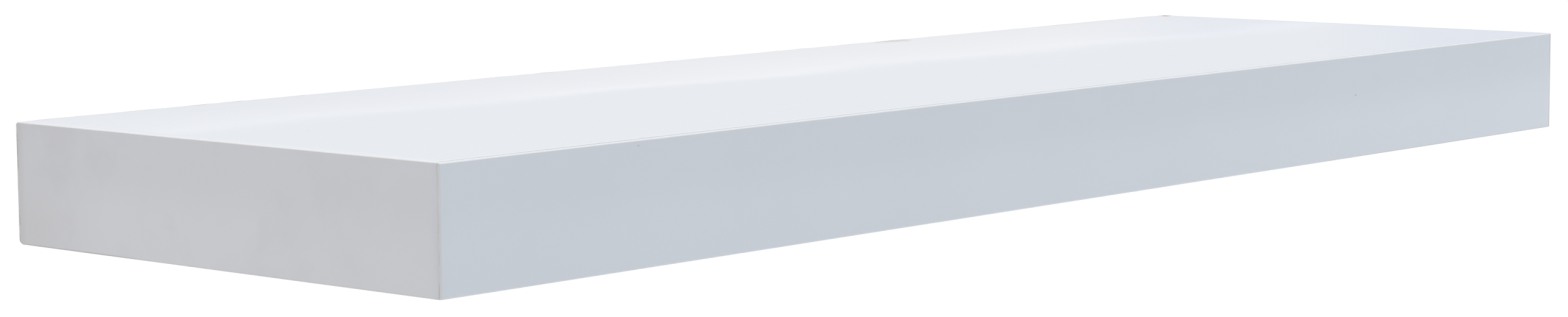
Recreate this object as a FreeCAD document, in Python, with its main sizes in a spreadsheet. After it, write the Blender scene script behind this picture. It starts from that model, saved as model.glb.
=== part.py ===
import FreeCAD, Part
import math
import os
import re

import Sketcher

# A white hollow-core floating shelf that slides on a hidden steel wall bracket.
# X runs along the wall, the wall is the plane y = 0, the front faces -Y, +Z is up,
# and z = 0 is the middle of the board's thickness.

# Driving sizes in millimetres: name, amount, what it is
SIZES = (
    ("shelf_length", "800", "outer length along the wall"),
    ("shelf_depth", "250", "from the wall to the front face"),
    ("shelf_height", "50", "outer thickness of the board"),
    ("skin_thickness", "3", "top and bottom hardboard sheets"),
    ("band_thickness", "1.3", "plastic edge band"),
    ("band_radius", "0.5", "rounding of the band's outer edges"),
    ("front_rail_depth", "30", "frame rail behind the front band"),
    ("end_rail_width", "30", "frame rails at the two ends"),
    ("back_rail_depth", "40", "bored frame rail at the back"),
    ("bracket_recess", "12", "from the wall to the back rail"),
    ("rod_from_end", "200", "rod axis from the board's end"),
    ("rod_diameter", "12", "steel rod"),
    ("rod_front_cover", "64.7", "from the rod's tip to the front rail"),
    ("rod_nose", "1.5", "chamfer of the rod's tip"),
    ("spigot_diameter", "8", "rod end that passes through the plate"),
    ("rivet_diameter", "11", "spread head, flush with the plate's back"),
    ("rivet_clearance", "0.05", "play of the spigot in the plate"),
    ("bore_clearance", "0.3", "radial play of the rod in its bore"),
    ("bore_end_gap", "6", "bore beyond the rod's tip"),
    ("guide_wall", "13.7", "wood on each side of a guide block's bore"),
    ("plate_thickness", "4", "steel strip of the bracket"),
    ("plate_end_gap", "18", "from the plate's end to the end rail"),
    ("plate_edge_gap", "3", "from the plate's long edge to a skin"),
    ("plate_corner", "4", "rounded corners of the plate"),
    ("screw_offset", "60", "wall screw hole from the rod axis"),
    ("screw_hole_diameter", "5.5", "wall screw holes and slot width"),
    ("countersink_diameter", "10.5", "countersink of the round wall screw holes"),
    ("slot_length", "14", "overall length of the levelling slots"),
    ("lock_screw_diameter", "6", "socket set screw"),
    ("lock_screw_recess", "3", "set screw below the insert's face"),
    ("lock_gap", "0.3", "from the set screw's tip to the rod"),
    ("lock_chamfer", "0.7", "chamfered ends of the set screw"),
    ("lock_cup_depth", "0.8", "hollow in the set screw's tip"),
    ("hex_width", "3", "across the flats of the hexagon socket"),
    ("hex_depth", "4", "depth of the hexagon socket"),
    ("thread_clearance", "0.1", "play of the set screw in its insert"),
    ("insert_diameter", "10", "threaded insert's barrel"),
    ("insert_flange_diameter", "13", "insert's flange"),
    ("insert_flange_thickness", "1.2", "let in flush with the bottom skin"),
    ("insert_top_gap", "5.7", "from the insert's end to the rod bore"),
    ("insert_lead", "0.5", "countersunk mouth of the insert"),
    ("insert_clearance", "0.1", "play of the insert in its hole"),
    ("cell_side", "14", "side of a honeycomb cell"),
    ("paper_thickness", "0.4", "honeycomb paper"),
    ("core_gap", "2", "from the honeycomb to the frame"),
)

# Places and sizes that follow from the driving sizes
DERIVED = {
    "half_length": "shelf_length / 2",
    "half_height": "shelf_height / 2",
    "board_half": "half_length - band_thickness",
    "board_depth": "shelf_depth - band_thickness",
    "bay_half": "board_half - end_rail_width",
    "core_height": "shelf_height - 2 * skin_thickness",
    "core_half": "core_height / 2",
    "bay_front": "board_depth - front_rail_depth",
    "bay_back": "bracket_recess + back_rail_depth",
    "block_length": "bay_front - bay_back",
    "rod_across": "half_length - rod_from_end",
    "rod_radius": "rod_diameter / 2",
    "rod_reach": "bay_front - rod_front_cover",
    "bore_diameter": "rod_diameter + 2 * bore_clearance",
    "bore_depth": "block_length - rod_front_cover + bore_end_gap",
    "block_width": "bore_diameter + 2 * guide_wall",
    "back_joint": "bracket_recess + back_rail_depth / 2",
    "plate_half": "bay_half - plate_end_gap",
    "plate_height_half": "core_half - plate_edge_gap",
    "rivet_depth": "(rivet_diameter - spigot_diameter) / 2",
    "insert_bore": "insert_diameter + 2 * insert_clearance",
    "insert_length": "half_height - bore_diameter / 2 - insert_top_gap",
    "lock_length": "half_height - lock_screw_recess - rod_radius - lock_gap",
    "lock_radius": "lock_screw_diameter / 2",
    "lock_bore_radius": "lock_radius + thread_clearance",
    "hex_corner": "hex_width / sqrt(3)",
}

doc = FreeCAD.newDocument("floating_shelf")
sheet = doc.addObject("Spreadsheet::Sheet", "sizes")
for row, (alias, amount, note) in enumerate(SIZES, start=1):
    sheet.set("A%d" % row, alias)
    sheet.set("B%d" % row, amount)
    sheet.set("C%d" % row, note)
    sheet.setAlias("B%d" % row, alias)
doc.recompute()

ALIASES = {alias for alias, amount, note in SIZES}
nodes = []


def ex(text):
    """Turn a formula in plain names into an expression on the sheet's cells."""

    def cell(match):
        word = match.group(0)
        if word in DERIVED:
            return "(" + ex(DERIVED[word]) + ")"
        return "sizes." + word if word in ALIASES else word

    return re.sub(r"[a-z_]+", cell, text)


def value(text):
    """The number that a formula has now."""
    return float(sheet.evalExpression(ex(text)))


def vector(*texts):
    return FreeCAD.Vector(*[value(text) for text in texts])


def new_body(label, across="0", back="0", up="0"):
    body = doc.addObject("PartDesign::Body", label)
    body.Label = label
    for axis, text in zip("xyz", (across, back, up)):
        body.setExpression("Placement.Base." + axis, ex(text))
    nodes.append(body)
    return body


def origin_part(body, role):
    return [part for part in body.Origin.OriginFeatures if part.Role == role][0]


def new_sketch(body, role, shift=("0", "0", "0")):
    """A sketch on one of the body's own planes, moved along the plane's axes."""
    sketch = body.newObject("Sketcher::SketchObject", body.Name + "_sketch")
    sketch.AttachmentSupport = [(origin_part(body, role), "")]
    sketch.MapMode = "FlatFace"
    for axis, text in zip("xyz", shift):
        sketch.setExpression("AttachmentOffset.Base." + axis, ex(text))
    return sketch


def bind(sketch, constraint, text):
    number = sketch.addConstraint(constraint)
    sketch.setExpression("Constraints[%d]" % number, ex(text))


def pin(sketch, element, point, across, up):
    """Tie a point of the sketch to two formulas, measured from its origin."""
    for kind, text in (("DistanceX", across), ("DistanceY", up)):
        bind(sketch, Sketcher.Constraint(kind, -1, 1, element, point, value(text)), text)


def draw_outline(sketch, points):
    corners = [vector(across, up, "0") for across, up in points]
    first = sketch.GeometryCount
    count = len(corners)
    for number in range(count):
        sketch.addGeometry(Part.LineSegment(corners[number], corners[(number + 1) % count]))
    for number in range(count):
        after = first + (number + 1) % count
        sketch.addConstraint(Sketcher.Constraint("Coincident", first + number, 2, after, 1))
    for number, (across, up) in enumerate(points):
        pin(sketch, first + number, 1, across, up)


def draw_circle(sketch, across, up, diameter):
    normal = FreeCAD.Vector(0, 0, 1)
    circle = Part.Circle(vector(across, up, "0"), normal, value(diameter) / 2)
    element = sketch.addGeometry(circle)
    bind(sketch, Sketcher.Constraint("Diameter", element, value(diameter)), diameter)
    pin(sketch, element, 3, across, up)


def draw_slot(sketch, across, up, width, length):
    """A straight slot along the sketch's first axis, with half-round ends."""
    normal = FreeCAD.Vector(0, 0, 1)
    radius = value(width) / 2
    reach = "(%s - %s) / 2" % (length, width)
    right = "%s + %s" % (across, reach)
    left = "%s - %s" % (across, reach)
    quarter = math.pi / 2
    right_end = Part.ArcOfCircle(Part.Circle(vector(right, up, "0"), normal, radius), -quarter, quarter)
    left_end = Part.ArcOfCircle(Part.Circle(vector(left, up, "0"), normal, radius), quarter, 3 * quarter)
    top = Part.LineSegment(right_end.EndPoint, left_end.StartPoint)
    bottom = Part.LineSegment(left_end.EndPoint, right_end.StartPoint)
    elements = [sketch.addGeometry(edge) for edge in (right_end, top, left_end, bottom)]
    ends = ((0, 2, 1, 1), (1, 2, 2, 1), (2, 2, 3, 1), (3, 2, 0, 1))
    for one, one_point, other, other_point in ends:
        joined = Sketcher.Constraint("Tangent", elements[one], one_point, elements[other], other_point)
        sketch.addConstraint(joined)
    bind(sketch, Sketcher.Constraint("Radius", elements[0], radius), width + " / 2")
    pin(sketch, elements[0], 3, right, up)
    pin(sketch, elements[2], 3, left, up)


def add_pad(body, sketch, length):
    pad = body.newObject("PartDesign::Pad", body.Name + "_pad")
    pad.Profile = sketch
    pad.setExpression("Length", ex(length))
    sketch.Visibility = False
    doc.recompute()
    return pad


def add_revolution(body, sketch, axis):
    turned = body.newObject("PartDesign::Revolution", body.Name + "_turned")
    turned.Profile = sketch
    turned.ReferenceAxis = (sketch, [axis])
    sketch.Visibility = False
    doc.recompute()
    return turned


def check_cut(body, before):
    doc.recompute()
    if body.Shape.Volume > before * (1 - 1e-7):
        raise ValueError(body.Label + ": a cut removed nothing")


def add_pocket(body, sketch, depth, forward):
    """Cut to a depth along the sketch's normal (forward) or against it, or right through."""
    before = body.Shape.Volume
    pocket = body.newObject("PartDesign::Pocket", body.Name + "_cut")
    pocket.Profile = sketch
    pocket.Reversed = forward
    if depth == "through":
        pocket.Type = "ThroughAll"
    else:
        pocket.setExpression("Length", ex(depth))
    sketch.Visibility = False
    check_cut(body, before)


def add_bores(body, role, level, places, diameter, depth, forward):
    """Round bores from a plane that lies at a level along the role's normal."""
    sketch = new_sketch(body, role, ("0", "0", level))
    for across, up in places:
        draw_circle(sketch, across, up, diameter)
    add_pocket(body, sketch, depth, forward)


def add_countersunk_holes(body, role, level, places, diameter, mouth, forward):
    before = body.Shape.Volume
    sketch = new_sketch(body, role, ("0", "0", level))
    for across, up in places:
        draw_circle(sketch, across, up, diameter)
    doc.recompute()
    hole = body.newObject("PartDesign::Hole", body.Name + "_hole")
    hole.Profile = sketch
    hole.Reversed = forward
    hole.DepthType = "ThroughAll"
    hole.setExpression("Diameter", ex(diameter))
    hole.HoleCutType = "Countersink"
    hole.HoleCutCustomValues = True
    hole.HoleCutCountersinkAngle = 90
    hole.setExpression("HoleCutDiameter", ex(mouth))
    sketch.Visibility = False
    check_cut(body, before)


def add_fillet(body, radius, wanted):
    """Round the edges of the body's last feature that the test picks."""
    base = body.Tip
    names = []
    for number, edge in enumerate(base.Shape.Edges, start=1):
        if wanted(edge.BoundBox):
            names.append("Edge%d" % number)
    fillet = body.newObject("PartDesign::Fillet", body.Name + "_round")
    fillet.Base = (base, names)
    fillet.setExpression("Radius", ex(radius))
    doc.recompute()


def add_board(label, size, corner):
    """A plain board: its length, depth and height, and the place of its lowest corner."""
    length, depth, height = size
    body = new_body(label, *corner)
    sketch = new_sketch(body, "XY_Plane")
    draw_outline(sketch, [("0", "0"), (length, "0"), (length, depth), ("0", depth)])
    add_pad(body, sketch, height)
    return body


def both(middle, offset):
    return ["%s - %s" % (middle, offset), "%s + %s" % (middle, offset)]


def near(one, other):
    return abs(one - other) < 1e-6


# Wall plate: a steel strip with countersunk holes, levelling slots and riveted rods
wall_plate = new_body("wall_plate")
strip = new_sketch(wall_plate, "XZ_Plane")
draw_outline(
    strip,
    [
        ("-plate_half", "-plate_height_half"),
        ("plate_half", "-plate_height_half"),
        ("plate_half", "plate_height_half"),
        ("-plate_half", "plate_height_half"),
    ],
)
add_pad(wall_plate, strip, "plate_thickness")
add_fillet(
    wall_plate,
    "plate_corner",
    lambda box: near(box.YLength, value("plate_thickness")),
)
add_countersunk_holes(
    wall_plate,
    "XZ_Plane",
    "plate_thickness",
    [("-rod_across + screw_offset", "0"), ("rod_across - screw_offset", "0")],
    "screw_hole_diameter",
    "countersink_diameter",
    False,
)
slots = new_sketch(wall_plate, "XZ_Plane")
for middle in ("-rod_across - screw_offset", "rod_across + screw_offset"):
    draw_slot(slots, middle, "0", "screw_hole_diameter", "slot_length")
add_pocket(wall_plate, slots, "through", True)
add_countersunk_holes(
    wall_plate,
    "XZ_Plane",
    "0",
    [("-rod_across", "0"), ("rod_across", "0")],
    "spigot_diameter + 2 * rivet_clearance",
    "rivet_diameter + 2 * rivet_clearance",
    True,
)

# Rods: turned bars whose spigots are spread into the back of the plate
for side, sign in (("left", "-"), ("right", "")):
    rod = new_body(side + "_rod", sign + "rod_across")
    profile = new_sketch(rod, "XY_Plane")
    draw_outline(
        profile,
        [
            ("0", "0"),
            ("0", "-rod_reach"),
            ("rod_radius - rod_nose", "-rod_reach"),
            ("rod_radius", "-rod_reach + rod_nose"),
            ("rod_radius", "-plate_thickness"),
            ("spigot_diameter / 2", "-plate_thickness"),
            ("spigot_diameter / 2", "-rivet_depth"),
            ("rivet_diameter / 2", "0"),
        ],
    )
    add_revolution(rod, profile, "V_Axis")

# Skins: the faced sheets, the lower one with seats for the flanged inserts
add_board(
    "top_skin",
    ("2 * board_half", "board_depth", "skin_thickness"),
    ("-board_half", "-board_depth", "core_half"),
)
bottom_skin = add_board(
    "bottom_skin",
    ("2 * board_half", "board_depth", "skin_thickness"),
    ("-board_half", "-board_depth", "-half_height"),
)
insert_places = [(across, "board_depth - back_joint") for across in both("board_half", "rod_across")]
add_bores(bottom_skin, "XY_Plane", "0", insert_places, "insert_bore", "through", True)
add_bores(
    bottom_skin,
    "XY_Plane",
    "0",
    insert_places,
    "insert_flange_diameter + 2 * insert_clearance",
    "insert_flange_thickness",
    True,
)

# Frame: front and back rails glued between the end rails
rod_places = both("bay_half", "rod_across")
add_board(
    "front_rail",
    ("2 * bay_half", "front_rail_depth", "core_height"),
    ("-bay_half", "-board_depth", "-core_half"),
)
back_rail = add_board(
    "back_rail",
    ("2 * bay_half", "back_rail_depth", "core_height"),
    ("-bay_half", "-bay_back", "-core_half"),
)
add_bores(
    back_rail,
    "XZ_Plane",
    "0",
    [(across, "core_half") for across in rod_places],
    "bore_diameter",
    "through",
    False,
)
add_bores(
    back_rail,
    "XY_Plane",
    "0",
    [(across, "back_rail_depth / 2") for across in rod_places],
    "insert_bore",
    "core_half",
    True,
)
for side, left_edge in (("left", "-board_half"), ("right", "bay_half")):
    add_board(
        side + "_end_rail",
        ("end_rail_width", "board_depth", "core_height"),
        (left_edge, "-board_depth", "-core_half"),
    )

# Guide blocks: solid ribs from the back rail to the front rail that the rods run in
for side, sign in (("left", "-"), ("right", "")):
    block = add_board(
        side + "_guide_block",
        ("block_width", "block_length", "core_height"),
        (sign + "rod_across - block_width / 2", "-bay_front", "-core_half"),
    )
    bore = [("block_width / 2", "core_half")]
    add_bores(block, "XZ_Plane", "-block_length", bore, "bore_diameter", "bore_depth", True)


# Honeycomb: strips of paper folded to half hexagons, each glued to the next on its flats
def clip_line(points, end):
    """The part of a line, running along X, that lies between zero and an end."""
    kept = []
    for one, other in zip(points, points[1:]):
        low = max(one[0], 0)
        high = min(other[0], end)
        if low >= high:
            continue
        slope = (other[1] - one[1]) / (other[0] - one[0])
        for along in (low, high):
            point = FreeCAD.Vector(along, one[1] + (along - one[0]) * slope, 0)
            if not kept or not near(kept[-1].x, along):
                kept.append(point)
    return kept


def add_core(label, left, right):
    side = value("cell_side")
    half_paper = value("paper_thickness") / 2
    rise = side * math.sin(math.radians(60))
    mitre = half_paper * math.tan(math.radians(30))
    width = value("%s - (%s) - 2 * core_gap" % (right, left))
    depth = value("block_length - 2 * core_gap")
    pitch = rise + 2 * half_paper
    strips = int((depth - pitch) // pitch) + 1
    start = (depth - strips * pitch) / 2 + half_paper
    solids = []
    for strip_number in range(strips):
        low = start + strip_number * pitch
        folds = []
        along = -3 * side - (strip_number % 2) * 1.5 * side
        while along < width + 3 * side:
            folds.append((along, low + rise, -mitre))
            folds.append((along + side, low + rise, mitre))
            folds.append((along + 1.5 * side, low, mitre))
            folds.append((along + 2.5 * side, low, -mitre))
            along += 3 * side
        far = clip_line([(x + lean, y + half_paper) for x, y, lean in folds], width)
        close = clip_line([(x - lean, y - half_paper) for x, y, lean in folds], width)
        outline = far + close[::-1]
        face = Part.Face(Part.makePolygon(outline + outline[:1]))
        solids.append(face.extrude(vector("0", "0", "core_height")))
    core = doc.addObject("Part::Feature", label)
    core.Label = label
    core.Shape = solids[0].multiFuse(solids[1:]).removeSplitter()
    corner = vector("%s + core_gap" % left, "-bay_front + core_gap", "-core_half")
    core.Placement = FreeCAD.Placement(corner, FreeCAD.Rotation())
    nodes.append(core)
    if len(core.Shape.Solids) != 1:
        raise ValueError(label + ": the strips are not all joined")


add_core("left_core", "-bay_half", "-rod_across - block_width / 2")
add_core("centre_core", "-rod_across + block_width / 2", "rod_across - block_width / 2")
add_core("right_core", "rod_across + block_width / 2", "bay_half")

# Edge bands: the front one laps over the end ones, all with rounded outer edges
front_band = add_board(
    "front_edge_band",
    ("shelf_length", "band_thickness", "shelf_height"),
    ("-half_length", "-shelf_depth", "-half_height"),
)
add_fillet(front_band, "band_radius", lambda box: near(box.YMin, 0) and near(box.YMax, 0))
for side, left_edge, outer in (("left", "-half_length", "0"), ("right", "board_half", "band_thickness")):
    band = add_board(
        side + "_edge_band",
        ("band_thickness", "board_depth", "shelf_height"),
        (left_edge, "-board_depth", "-half_height"),
    )
    face = value(outer)
    long_edge = value("board_depth")
    add_fillet(
        band,
        "band_radius",
        lambda box: near(box.XMin, face) and near(box.XMax, face) and near(box.YLength, long_edge),
    )

# Inserts and set screws: from below they clamp the rods where they pass the back rail
for side, sign in (("left", "-"), ("right", "")):
    insert = new_body(side + "_insert", sign + "rod_across", "-back_joint", "-half_height")
    profile = new_sketch(insert, "XZ_Plane")
    draw_outline(
        profile,
        [
            ("lock_bore_radius + insert_lead", "0"),
            ("insert_flange_diameter / 2", "0"),
            ("insert_flange_diameter / 2", "insert_flange_thickness"),
            ("insert_diameter / 2", "insert_flange_thickness"),
            ("insert_diameter / 2", "insert_length"),
            ("lock_bore_radius", "insert_length"),
            ("lock_bore_radius", "insert_lead"),
        ],
    )
    add_revolution(insert, profile, "V_Axis")

    screw = new_body(
        side + "_locking_screw",
        sign + "rod_across",
        "-back_joint",
        "-half_height + lock_screw_recess",
    )
    profile = new_sketch(screw, "XZ_Plane")
    draw_outline(
        profile,
        [
            ("0", "0"),
            ("lock_radius - lock_chamfer", "0"),
            ("lock_radius", "lock_chamfer"),
            ("lock_radius", "lock_length - lock_chamfer"),
            ("lock_radius - lock_chamfer", "lock_length"),
            ("0", "lock_length - lock_cup_depth"),
        ],
    )
    add_revolution(screw, profile, "V_Axis")
    socket = new_sketch(screw, "XY_Plane")
    draw_outline(
        socket,
        [
            ("hex_corner", "0"),
            ("hex_corner / 2", "hex_width / 2"),
            ("-hex_corner / 2", "hex_width / 2"),
            ("-hex_corner", "0"),
            ("-hex_corner / 2", "-hex_width / 2"),
            ("hex_corner / 2", "-hex_width / 2"),
        ],
    )
    add_pocket(screw, socket, "hex_depth", True)

# Every object must be sound before anything is written
doc.recompute()
for thing in doc.Objects:
    if "Invalid" in thing.State or "Error" in thing.State:
        raise ValueError(thing.Name + ": " + ", ".join(thing.State))
for node in nodes:
    if node.Shape.isNull() or not node.Shape.isValid() or not node.Shape.Solids:
        raise ValueError(node.Label + ": the shape is not sound")

os.makedirs("parts", exist_ok=True)
for node in nodes:
    node.Shape.exportStep(os.path.join("parts", node.Label + ".step"))
    print(node.Label, len(node.Shape.Solids), round(node.Shape.Volume, 1))
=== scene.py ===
import math

import bmesh
import bpy
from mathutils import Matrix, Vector


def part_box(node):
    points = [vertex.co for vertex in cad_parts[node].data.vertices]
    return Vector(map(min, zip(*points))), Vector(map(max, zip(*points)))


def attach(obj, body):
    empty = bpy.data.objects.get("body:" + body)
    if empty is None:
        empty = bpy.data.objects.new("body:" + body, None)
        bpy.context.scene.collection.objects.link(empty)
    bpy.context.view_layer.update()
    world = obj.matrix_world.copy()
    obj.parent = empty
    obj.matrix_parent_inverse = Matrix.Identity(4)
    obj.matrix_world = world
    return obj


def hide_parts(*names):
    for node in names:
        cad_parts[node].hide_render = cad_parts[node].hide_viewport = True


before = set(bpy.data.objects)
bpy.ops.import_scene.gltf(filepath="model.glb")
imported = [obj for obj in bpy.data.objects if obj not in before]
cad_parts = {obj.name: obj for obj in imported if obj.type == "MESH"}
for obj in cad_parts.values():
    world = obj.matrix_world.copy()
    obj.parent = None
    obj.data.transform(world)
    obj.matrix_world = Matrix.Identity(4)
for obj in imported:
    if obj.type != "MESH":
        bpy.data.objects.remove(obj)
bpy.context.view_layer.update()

MM = 0.001
scene = bpy.context.scene
scene.view_settings.view_transform = "Standard"

SHELF = "shelf_board"
BRACKET = "wall_bracket"
SIDES = ("left", "right")
WHITE = (1.0, 1.0, 1.0)


# Node helpers

def put(tree, kind, settings=None, **inputs):
    """Add a node; each input is a number, a colour or the output of another node."""
    made = tree.nodes.new(kind)
    for name, setting in (settings or {}).items():
        setattr(made, name, setting)
    for name, feed in inputs.items():
        connect(tree, made.inputs[name.replace("_", " ")], feed)
    return made


def connect(tree, socket, feed):
    """Set a socket to a number or a colour of three shares, or link an output to it."""
    if isinstance(feed, bpy.types.NodeSocket):
        tree.links.new(feed, socket)
    elif isinstance(feed, tuple):
        socket.default_value = (*feed, 1.0)
    else:
        socket.default_value = feed


def worked(tree, operation, first, second=0.0):
    """One step of arithmetic on two numbers."""
    made = tree.nodes.new("ShaderNodeMath")
    made.operation = operation
    connect(tree, made.inputs[0], first)
    connect(tree, made.inputs[1], second)
    return made.outputs[0]


def times(tree, first, *others):
    """Numbers multiplied together."""
    for other in others:
        first = worked(tree, "MULTIPLY", first, other)
    return first


def plus(tree, first, *others):
    """Numbers added up."""
    for other in others:
        first = worked(tree, "ADD", first, other)
    return first


def mixed(tree, share, first, second):
    """Two colours mixed by a share."""
    made = tree.nodes.new("ShaderNodeMix")
    made.data_type = "RGBA"
    connect(tree, made.inputs[0], share)
    connect(tree, made.inputs[6], first)
    connect(tree, made.inputs[7], second)
    return made.outputs[2]


def ranged(tree, value, low, high, to_low=0.0, to_high=1.0, smooth=True):
    """A value brought from one range to another, held at the ends."""
    made = put(
        tree,
        "ShaderNodeMapRange",
        {"interpolation_type": "SMOOTHSTEP" if smooth else "LINEAR", "clamp": True},
        Value=value,
        From_Min=low,
        From_Max=high,
        To_Min=to_low,
        To_Max=to_high,
    )
    return made.outputs[0]


def on_piece(tree):
    """Places on the piece in metres."""
    return tree.nodes.new("ShaderNodeTexCoord").outputs["Object"]


def along_axes(tree):
    """Places on the piece in metres, parted into X, Y and Z."""
    return put(tree, "ShaderNodeSeparateXYZ", Vector=on_piece(tree)).outputs


def stretched(tree, stretch=(1, 1, 1)):
    """Places on the piece in metres, scaled along each axis."""
    made = put(tree, "ShaderNodeMapping", Vector=on_piece(tree))
    made.inputs["Scale"].default_value = stretch
    return made.outputs[0]


def cloudy(tree, places, scale, detail=3.0, roughness=0.5):
    """A soft noise between 0 and 1."""
    made = put(tree, "ShaderNodeTexNoise", Vector=places, Scale=scale, Detail=detail, Roughness=roughness)
    return made.outputs[0]


def bump(tree, height, distance, strength=1.0):
    """A small relief from a height."""
    return put(tree, "ShaderNodeBump", Height=height, Distance=distance, Strength=strength).outputs[0]


def start_group(name, inputs, outputs):
    """A node group with named inputs and outputs."""
    tree = bpy.data.node_groups.new(name, "ShaderNodeTree")
    kinds = {float: "NodeSocketFloat", tuple: "NodeSocketColor"}
    for label, default in inputs.items():
        made = tree.interface.new_socket(label, in_out="INPUT", socket_type=kinds[type(default)])
        connect(tree, made, default)
    for label, default in outputs.items():
        tree.interface.new_socket(label, in_out="OUTPUT", socket_type=kinds[type(default)])
    return tree, tree.nodes.new("NodeGroupInput").outputs, tree.nodes.new("NodeGroupOutput").inputs


def use_group(tree, group, **inputs):
    """Place a group in a material with its own values."""
    return put(tree, "ShaderNodeGroup", {"node_tree": group}, **inputs).outputs


def start_finish(name, **inputs):
    """A material with its shader's plain values set."""
    finish = bpy.data.materials.new(name)
    finish.use_nodes = True
    shader = finish.node_tree.nodes["Principled BSDF"]
    for label, amount in inputs.items():
        shader.inputs[label.replace("_", " ")].default_value = amount
    return finish, finish.node_tree


def dress(finish, colour, roughness, relief=None):
    """Feed a finish's colour and roughness, and its relief where it has one."""
    tree = finish.node_tree
    shader = tree.nodes["Principled BSDF"].inputs
    connect(tree, shader["Base Color"], colour)
    connect(tree, shader["Roughness"], roughness)
    if relief is not None:
        connect(tree, shader["Normal"], relief)
    return finish


# Effects that several finishes share

def make_soft_mottle():
    """Slow unevenness of tone over a surface."""
    tree, given, out = start_group(
        "soft_mottle",
        {"Colour": WHITE, "Tint": WHITE, "Scale": 20.0, "Amount": 0.5},
        {"Colour": WHITE, "Tone": 0.0},
    )
    spread = ranged(tree, cloudy(tree, stretched(tree), given["Scale"], 4.0, 0.55), 0.3, 0.7)
    share = times(tree, spread, given["Amount"])
    connect(tree, out["Colour"], mixed(tree, share, given["Colour"], given["Tint"]))
    connect(tree, out["Tone"], spread)
    return tree


def make_stray_specks():
    """A few dark specks of dust or print, each smaller than a millimetre."""
    tree, given, out = start_group(
        "stray_specks",
        {"Colour": WHITE, "Speck": WHITE, "Cells": 60.0, "Size": 0.03, "Share": 0.2},
        {"Colour": WHITE},
    )
    cells = put(tree, "ShaderNodeTexVoronoi", Vector=stretched(tree), Scale=given["Cells"])
    picks = put(tree, "ShaderNodeSeparateColor", Color=cells.outputs["Color"])
    picked = worked(tree, "LESS_THAN", picks.outputs[0], given["Share"])
    width = times(tree, picks.outputs[1], given["Size"])
    mask = times(tree, picked, worked(tree, "LESS_THAN", cells.outputs["Distance"], width))
    connect(tree, out["Colour"], mixed(tree, mask, given["Colour"], given["Speck"]))
    return tree


# Slant of the scuffs: the share of Y added along them, and of X taken off across them
SCUFF_SLANT, SCUFF_LEAN = 0.35, 0.22


def make_faint_scuffs():
    """Thin broken rub marks in one direction, as a mask."""
    tree, given, out = start_group(
        "faint_scuffs", {"Along": 9.0, "Across": 420.0, "Share": 0.1}, {"Mask": 0.0}
    )
    x, y, z = along_axes(tree)
    run = plus(tree, x, times(tree, y, SCUFF_SLANT))
    over = worked(tree, "SUBTRACT", y, times(tree, x, SCUFF_LEAN))
    slanted = put(
        tree,
        "ShaderNodeCombineXYZ",
        X=times(tree, run, given["Along"]),
        Y=times(tree, over, given["Across"]),
        Z=times(tree, z, given["Across"]),
    )
    lines = cloudy(tree, slanted.outputs[0], 1.0, 2.0, 0.6)
    edge = worked(tree, "SUBTRACT", 1.0, given["Share"])
    thin = ranged(tree, lines, times(tree, edge, 0.76), times(tree, edge, 0.82))
    patchy = ranged(tree, cloudy(tree, on_piece(tree), 14.0, 2.0), 0.5, 0.62)
    connect(tree, out["Mask"], times(tree, thin, patchy))
    return tree


def make_fine_peel():
    """The slight orange peel of a pressed or extruded white surface, as a height."""
    tree, given, out = start_group("fine_peel", {"Scale": 900.0, "Broad": 120.0}, {"Height": 0.0})
    places = stretched(tree)
    small = cloudy(tree, places, given["Scale"], 1.0)
    wide = cloudy(tree, places, given["Broad"], 1.0)
    connect(tree, out["Height"], plus(tree, times(tree, small, 0.35), wide))
    return tree


def make_rubbed_back_edge():
    """Wear towards the wall side, where the face meets the raw back edge."""
    tree, given, out = start_group(
        "rubbed_back_edge",
        {"Colour": WHITE, "Raw": WHITE, "Reach": 0.0012, "Wear": 0.5},
        {"Colour": WHITE, "Mask": 0.0},
    )
    y = along_axes(tree)["Y"]
    ragged = ranged(tree, cloudy(tree, on_piece(tree), 55.0, 5.0, 0.65), 0.42, 0.75, 0.15, 2.2)
    from_wall = worked(tree, "DIVIDE", times(tree, y, -1.0), times(tree, given["Reach"], ragged))
    mask = times(tree, ranged(tree, from_wall, 0.55, 1.0, 1.0, 0.0), given["Wear"])
    connect(tree, out["Mask"], mask)
    connect(tree, out["Colour"], mixed(tree, mask, given["Colour"], given["Raw"]))
    return tree


def make_small_mark():
    """One small ragged mark at a place on the part, in metres."""
    paint = {"Colour": WHITE, "Tint": WHITE, "Share": 0.5}
    place = {"Place X": 0.0, "Place Y": 0.0, "Place Z": 0.0}
    reach = {"Reach X": 0.002, "Reach Y": 0.002, "Reach Z": 0.004}
    outputs = {"Colour": WHITE, "Mask": 0.0}
    tree, given, out = start_group("small_mark", paint | place | reach, outputs)
    spread = 0.0
    for axis, spot in zip("XYZ", along_axes(tree)):
        away = worked(tree, "SUBTRACT", spot, given["Place " + axis])
        share = worked(tree, "DIVIDE", away, given["Reach " + axis])
        spread = plus(tree, times(tree, share, share), spread)
    ragged = ranged(tree, cloudy(tree, on_piece(tree), 420.0, 4.0, 0.65), 0.3, 0.7, 0.3, 2.2)
    mask = ranged(tree, times(tree, spread, ragged), 0.35, 1.0, given["Share"], 0.0)
    connect(tree, out["Mask"], mask)
    connect(tree, out["Colour"], mixed(tree, mask, given["Colour"], given["Tint"]))
    return tree


def make_drawn_lines():
    """Fine lines left by rolling or turning a metal, as a tone."""
    tree, given, out = start_group(
        "drawn_lines", {"Along X": 4.0, "Along Y": 900.0, "Along Z": 900.0}, {"Tone": 0.0}
    )
    axes = zip("XYZ", along_axes(tree))
    scaled = {axis: times(tree, place, given["Along " + axis]) for axis, place in axes}
    spread = put(tree, "ShaderNodeCombineXYZ", **scaled)
    connect(tree, out["Tone"], cloudy(tree, spread.outputs[0], 1.0, 4.0, 0.6))
    return tree


soft_mottle = make_soft_mottle()
stray_specks = make_stray_specks()
faint_scuffs = make_faint_scuffs()
fine_peel = make_fine_peel()
rubbed_back_edge = make_rubbed_back_edge()
small_mark = make_small_mark()
drawn_lines = make_drawn_lines()


# Finishes

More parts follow.
